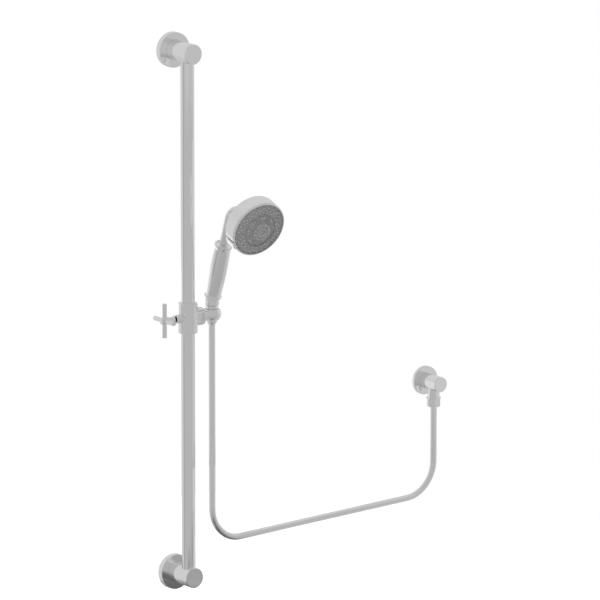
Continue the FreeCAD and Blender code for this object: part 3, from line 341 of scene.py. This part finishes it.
def dress_nodes(materials):
    """Give each solid its own look or that of its slot, and soften its edges as the real finish does."""
    for part in frame["record"]["subparts"]:
        piece = frame["nodes"][part["node"]]
        for slot in piece.material_slots:
            slot.material = materials[OWN_LOOKS.get(part["node"], part["material_slot"])]
        weld = piece.modifiers.new("weld", "WELD")
        weld.merge_threshold = WELD_REACH
        soften = piece.modifiers.new("soften", "BEVEL")
        soften.width = EDGE_ROUND
        soften.segments = EDGE_SEGMENTS
        soften.limit_method = "ANGLE"
        soften.angle_limit = EDGE_ANGLE
        soften.use_clamp_overlap = True
        even = piece.modifiers.new("even", "WEIGHTED_NORMAL")
        even.keep_sharp = True


# Hose


def route_line():
    """Points along the smooth line that the hose's route sets."""
    curve = bpy.data.curves.new("hose_line", "CURVE")
    curve.dimensions = "3D"
    curve.resolution_u = HOSE_LINE_POINTS
    spline = curve.splines.new("NURBS")
    spline.points.add(len(HOSE_ROUTE) - 1)
    for point, corner in zip(spline.points, HOSE_ROUTE):
        point.co = (*corner, 1.0)
    spline.order_u = HOSE_LINE_ORDER
    spline.use_endpoint_u = True
    holder = bpy.data.objects.new("hose_line", curve)
    bpy.context.collection.objects.link(holder)
    bpy.context.view_layer.update()
    mesh = bpy.data.meshes.new_from_object(holder)
    line = [vertex.co.copy() for vertex in mesh.vertices]
    bpy.data.objects.remove(holder)
    bpy.data.meshes.remove(mesh)
    return line


def spaced(line, step):
    """The line with its points a fixed step apart."""
    lengths = [0.0]
    for before, after in zip(line, line[1:]):
        lengths.append(lengths[-1] + (after - before).length)
    count = round(lengths[-1] / step)
    points = []
    index = 0
    for number in range(count + 1):
        along = lengths[-1] * number / count
        while index < len(line) - 2 and lengths[index + 1] < along:
            index += 1
        stretch = lengths[index + 1] - lengths[index]
        points.append(line[index].lerp(line[index + 1], (along - lengths[index]) / stretch))
    return points


def tube(name, points, first_length):
    """A round tube whose rings stand square to the line through the points."""
    mesh = bpy.data.meshes.new(name)
    shape = bmesh.new()
    wrap = shape.loops.layers.uv.new("UVMap")
    across = Vector((0.0, 1.0, 0.0))
    rings = []
    lengths = []
    along = first_length
    for index, point in enumerate(points):
        ahead = points[min(index + 1, len(points) - 1)]
        behind = points[max(index - 1, 0)]
        way = (ahead - behind).normalized()
        across = (across - way * across.dot(way)).normalized()
        side = way.cross(across)
        ring = []
        for corner in range(HOSE_RING_POINTS):
            angle = 2 * math.pi * corner / HOSE_RING_POINTS
            offset = across * math.cos(angle) + side * math.sin(angle)
            ring.append(shape.verts.new(point + offset * HOSE_DIAMETER / 2))
        if index > 0:
            along += (point - points[index - 1]).length
        rings.append(ring)
        lengths.append(along)
    for index in range(len(rings) - 1):
        for corner in range(HOSE_RING_POINTS):
            after = (corner + 1) % HOSE_RING_POINTS
            face = shape.faces.new((rings[index][corner], rings[index][after],
                                    rings[index + 1][after], rings[index + 1][corner]))
            face.smooth = True
            turns = (corner, corner + 1, corner + 1, corner)
            heights = (lengths[index], lengths[index], lengths[index + 1], lengths[index + 1])
            for loop, turn, height in zip(face.loops, turns, heights):
                loop[wrap].uv = (turn / HOSE_RING_POINTS * math.pi * HOSE_DIAMETER, height)
    bmesh.ops.recalc_face_normals(shape, faces=shape.faces)
    shape.to_mesh(mesh)
    shape.free()
    piece = bpy.data.objects.new(name, mesh)
    bpy.context.collection.objects.link(piece)
    return piece


def line_length(points):
    """The length of the line through the points."""
    return sum((after - before).length for before, after in zip(points, points[1:]))


def add_hose(materials):
    """The hose in three lengths, one for each joint that it crosses between the wall and the holder."""
    points = spaced(route_line(), HOSE_RING_STEP)
    top = Vector(HOSE_ROUTE[-1])
    rising = [index for index, point in enumerate(points) if point.x < top.x + HOSE_DIAMETER / 4]
    swivel_cut = next(index for index in rising if points[index].z > HOSE_SWIVEL_LEVEL)
    tilt_cut = next(index for index in rising if points[index].z > HOSE_TILT_LEVEL)
    rigid = Vector((top.x, top.y, HOSE_RIGID_LEVEL))
    lengths = [
        ("hose_lower", points[:swivel_cut + 1], ("rail", "carriage"), HOSE_SLIDE_START, HOSE_SLIDE_END,
         ["hose_elbow_nut", "hose_elbow_tail"]),
        ("hose_middle", points[swivel_cut:tilt_cut + 1], ("carriage", "slider"), points[swivel_cut],
         points[tilt_cut], []),
        ("hose_upper", points[tilt_cut:], ("slider", "holder"), points[tilt_cut], rigid,
         ["hose_cone_nut", "hose_cone_tail"]),
    ]
    done = 0.0
    for name, line, bodies, start, end, fittings in lengths:
        piece = tube(name, line, done)
        piece.data.materials.append(materials["silver_hose"])
        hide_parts("hose")
        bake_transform(piece)
        done += line_length(line)


# Spray face


def head_matrix():
    """The head's own frame: its axis points out of the spray face."""
    turn = next(joint for joint in frame["joints"] if joint["name"] == "spray_selector")
    out = Vector(turn["axis"]).normalized()
    right = Vector((1.0, 0.0, 0.0))
    up = out.cross(right)
    matrix = Matrix((right, up, out)).transposed().to_4x4()
    matrix.translation = Vector(turn["pos_m"])
    return matrix


def nozzle_places():
    """Where each nozzle stands in the head's frame."""
    places = []

    def add_ring(spot, count, shift=0.0):
        for number in range(count):
            turn = Matrix.Rotation(2 * math.pi * (number + shift) / count, 3, "Z")
            places.append(turn @ Vector(spot))

    for radius, shift in MAT_RINGS:
        face = MAT_EDGE[1] + MAT_SLOPE * (MAT_EDGE[0] - radius)
        add_ring((radius, 0.0, face), MAT_COLUMNS, shift)
    for radius, shift in DISC_RINGS:
        add_ring((radius, 0.0, DISC_FACE), DISC_COLUMNS, shift)
    plain_face = PLAIN_EDGE[1] + PLAIN_SLOPE * (PLAIN_EDGE[0] - PAIR_RADIUS)
    for side in (-PAIR_PITCH / 2, PAIR_PITCH / 2):
        add_ring((PAIR_RADIUS, side, plain_face), PAIR_COUNT)
    return places


def add_nozzles(materials):
    """The soft round sleeve of each nozzle, with the hole at its tip."""
    profile = [
        (NOZZLE_FOOT * NOZZLE_FLARE, -NOZZLE_SINK),
        (NOZZLE_FOOT, NOZZLE_HEIGHT * NOZZLE_FOOT_END),
        (NOZZLE_TIP * NOZZLE_SHOULDER, NOZZLE_HEIGHT * NOZZLE_SHOULDER_HEIGHT),
        (NOZZLE_TIP * NOZZLE_RIM, NOZZLE_HEIGHT),
        (NOZZLE_HOLE * NOZZLE_MOUTH, NOZZLE_HEIGHT),
        (NOZZLE_HOLE, NOZZLE_HEIGHT * NOZZLE_HOLE_FLOOR),
    ]
    shape = bmesh.new()
    for place in nozzle_places():
        rings = []
        for radius, height in profile:
            ring = []
            for corner in range(NOZZLE_SIDES):
                angle = 2 * math.pi * corner / NOZZLE_SIDES
                offset = Vector((radius * math.cos(angle), radius * math.sin(angle), height))
                ring.append(shape.verts.new(place + offset))
            rings.append(ring)
        for low, high in zip(rings, rings[1:]):
            for corner in range(NOZZLE_SIDES):
                after = (corner + 1) % NOZZLE_SIDES
                face = shape.faces.new((low[corner], low[after], high[after], high[corner]))
                face.smooth = True
        shape.faces.new(rings[-1])
    mesh = bpy.data.meshes.new("nozzle_sleeves")
    shape.to_mesh(mesh)
    shape.free()
    mesh.transform(head_matrix())
    mesh.materials.append(materials["nozzle_tip"])
    piece = bpy.data.objects.new("nozzle_sleeves", mesh)
    bpy.context.collection.objects.link(piece)
    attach(piece, "holder")


def add_turned(name, profile, material):
    """A ring of the spray face, turned from its profile about the head's axis."""
    shape = bmesh.new()
    rings = []
    for corner in range(TURNED_SIDES):
        turn = Matrix.Rotation(2 * math.pi * corner / TURNED_SIDES, 3, "Z")
        rings.append([shape.verts.new(turn @ Vector((radius, 0.0, height))) for radius, height in profile])
    for ring, after in zip(rings, rings[1:] + rings[:1]):
        for index in range(len(profile) - 1):
            face = shape.faces.new((ring[index], ring[index + 1], after[index + 1], after[index]))
            face.smooth = True
    bmesh.ops.recalc_face_normals(shape, faces=shape.faces)
    mesh = bpy.data.meshes.new(name)
    shape.to_mesh(mesh)
    shape.free()
    mesh.transform(head_matrix())
    mesh.materials.append(material)
    piece = bpy.data.objects.new(name, mesh)
    bpy.context.collection.objects.link(piece)
    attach(piece, "holder")


# Studio


def add_world():
    """White behind the set, the grey studio that is seen mirrored, and a plain even light for the rest."""
    world = bpy.data.worlds.new("studio")
    bpy.context.scene.world = world
    world.use_nodes = True
    tree = world.node_tree
    tree.nodes.clear()
    place = tree.nodes.new("ShaderNodeTexCoord")
    forward = tree.nodes.new("ShaderNodeVectorMath")
    forward.operation = "DOT_PRODUCT"
    forward.inputs[1].default_value = STUDIO_FRONT
    tree.links.new(place.outputs["Generated"], forward.inputs[0])

    def step(source, low, high):
        span = tree.nodes.new("ShaderNodeMapRange")
        span.interpolation_type = "SMOOTHSTEP"
        span.inputs["From Min"].default_value = low
        span.inputs["From Max"].default_value = high
        tree.links.new(source, span.inputs["Value"])
        return span.outputs["Result"]

    def mixed(factor, below, above):
        mix = tree.nodes.new("ShaderNodeMix")
        mix.data_type = "RGBA"
        tree.links.new(factor, mix.inputs["Factor"])
        for socket, colour in zip(("A", "B"), (below, above)):
            port = next(item for item in mix.inputs if item.name == socket and item.type == "RGBA")
            if isinstance(colour, float):
                port.default_value = (colour, colour, colour, 1.0)
            else:
                tree.links.new(colour, port)
        return next(item for item in mix.outputs if item.type == "RGBA")

    level = tree.nodes.new("ShaderNodeSeparateXYZ")
    tree.links.new(place.outputs["Generated"], level.inputs["Vector"])
    around = mixed(step(forward.outputs["Value"], *STUDIO_SIDE_STEP), STUDIO_BACK_TONE, STUDIO_FRONT_TONE)
    low = mixed(step(level.outputs["Z"], *STUDIO_LOW_STEP), STUDIO_LOW_SHARE, 1.0)
    shaded = tree.nodes.new("ShaderNodeVectorMath")
    shaded.operation = "MULTIPLY"
    tree.links.new(around, shaded.inputs[0])
    tree.links.new(low, shaded.inputs[1])
    mirrored = shaded.outputs["Vector"]
    path = tree.nodes.new("ShaderNodeLightPath")
    seen = tree.nodes.new("ShaderNodeMath")
    seen.operation = "MAXIMUM"
    tree.links.new(path.outputs["Is Glossy Ray"], seen.inputs[0])
    tree.links.new(path.outputs["Is Transmission Ray"], seen.inputs[1])
    lit = mixed(seen.outputs["Value"], STUDIO_FILL_TONE, mirrored)
    shown = mixed(path.outputs["Is Camera Ray"], lit, STUDIO_WHITE)
    background = tree.nodes.new("ShaderNodeBackground")
    output = tree.nodes.new("ShaderNodeOutputWorld")
    tree.links.new(shown, background.inputs["Color"])
    tree.links.new(background.outputs["Background"], output.inputs["Surface"])


def add_painted_reflection_card(name, place, facing, span, step, tones):
    """A card of painted reflection, only seen mirrored, with one tone at its middle and one at its edge."""
    mesh = bpy.data.meshes.new(name)
    shape = bmesh.new()
    bmesh.ops.create_grid(shape, x_segments=1, y_segments=1, size=0.5)
    shape.to_mesh(mesh)
    shape.free()
    card = bpy.data.objects.new(name, mesh)
    card.location = place
    card.rotation_euler = (Vector(facing) - Vector(place)).to_track_quat("Z", "Y").to_euler()
    card.scale = (*span, 1.0)
    bpy.context.collection.objects.link(card)
    material = bpy.data.materials.new(name)
    material.use_nodes = True
    tree = material.node_tree
    tree.nodes.clear()
    spot = tree.nodes.new("ShaderNodeTexCoord")
    reach = tree.nodes.new("ShaderNodeVectorMath")
    reach.operation = "LENGTH"
    tree.links.new(spot.outputs["Object"], reach.inputs[0])
    tone = tree.nodes.new("ShaderNodeMapRange")
    tone.interpolation_type = "SMOOTHSTEP"
    tone.inputs["From Min"].default_value, tone.inputs["From Max"].default_value = step
    tone.inputs["To Min"].default_value, tone.inputs["To Max"].default_value = tones
    tree.links.new(reach.outputs["Value"], tone.inputs["Value"])
    glow = tree.nodes.new("ShaderNodeEmission")
    tree.links.new(tone.outputs["Result"], glow.inputs["Color"])
    output = tree.nodes.new("ShaderNodeOutputMaterial")
    tree.links.new(glow.outputs["Emission"], output.inputs["Surface"])
    mesh.materials.append(material)
    for visibility in ("camera", "diffuse", "transmission", "volume_scatter", "shadow"):
        setattr(card, f"visible_{visibility}", False)


def add_floor():
    """A plain pale floor below the set, which takes its shadow and hides nothing from below."""
    mesh = bpy.data.meshes.new("floor")
    shape = bmesh.new()
    bmesh.ops.create_grid(shape, x_segments=1, y_segments=1, size=FLOOR_HALF_WIDTH)
    shape.to_mesh(mesh)
    shape.free()
    floor = bpy.data.objects.new("floor", mesh)
    floor.location = FLOOR_PLACE
    bpy.context.collection.objects.link(floor)
    material, tree, shader = new_material("floor", Roughness=FLOOR_ROUGHNESS)
    mottle = surface_noise(tree, FLOOR_MOTTLE_SCALE)
    tree.links.new(tint(tree, mottle, *FLOOR_SHADES), shader.inputs["Base Color"])
    side = tree.nodes.new("ShaderNodeNewGeometry")
    clear = tree.nodes.new("ShaderNodeBsdfTransparent")
    shown = tree.nodes.new("ShaderNodeMixShader")
    tree.links.new(side.outputs["Backfacing"], shown.inputs["Fac"])
    tree.links.new(shader.outputs["BSDF"], shown.inputs[1])
    tree.links.new(clear.outputs["BSDF"], shown.inputs[2])
    tree.links.new(shown.outputs["Shader"], tree.nodes["Material Output"].inputs["Surface"])
    mesh.materials.append(material)
    floor.visible_glossy = False


def add_lamp(name, place, aim, size, power):
    """A soft lamp that lights the set and isn't mirrored in it."""
    data = bpy.data.lights.new(name, "AREA")
    data.shape = "RECTANGLE"
    data.size, data.size_y = size
    data.energy = power
    lamp = bpy.data.objects.new(name, data)
    lamp.location = place
    lamp.rotation_euler = (Vector(aim) - Vector(place)).to_track_quat("-Z", "Y").to_euler()
    lamp.visible_glossy = False
    bpy.context.collection.objects.link(lamp)


add_camera()
materials = make_materials()
dress_nodes(materials)
add_hose(materials)
add_nozzles(materials)
add_turned("mat_lip", LIP_PROFILE, materials["grey_silicone"])
# Painted highlight: the plate's bead takes the centre disc's lighter plastic, so that its ridge looks lit.
add_turned("plate_bead", BEAD_PROFILE, materials["disc_face"])
add_world()
add_floor()
for card_name, card_facts in PAINTED_REFLECTION_CARDS.items():
    add_painted_reflection_card(card_name, **card_facts)
for lamp_name, lamp_facts in LAMPS.items():
    add_lamp(lamp_name, **lamp_facts)
bpy.context.scene.view_settings.view_transform = "Standard"
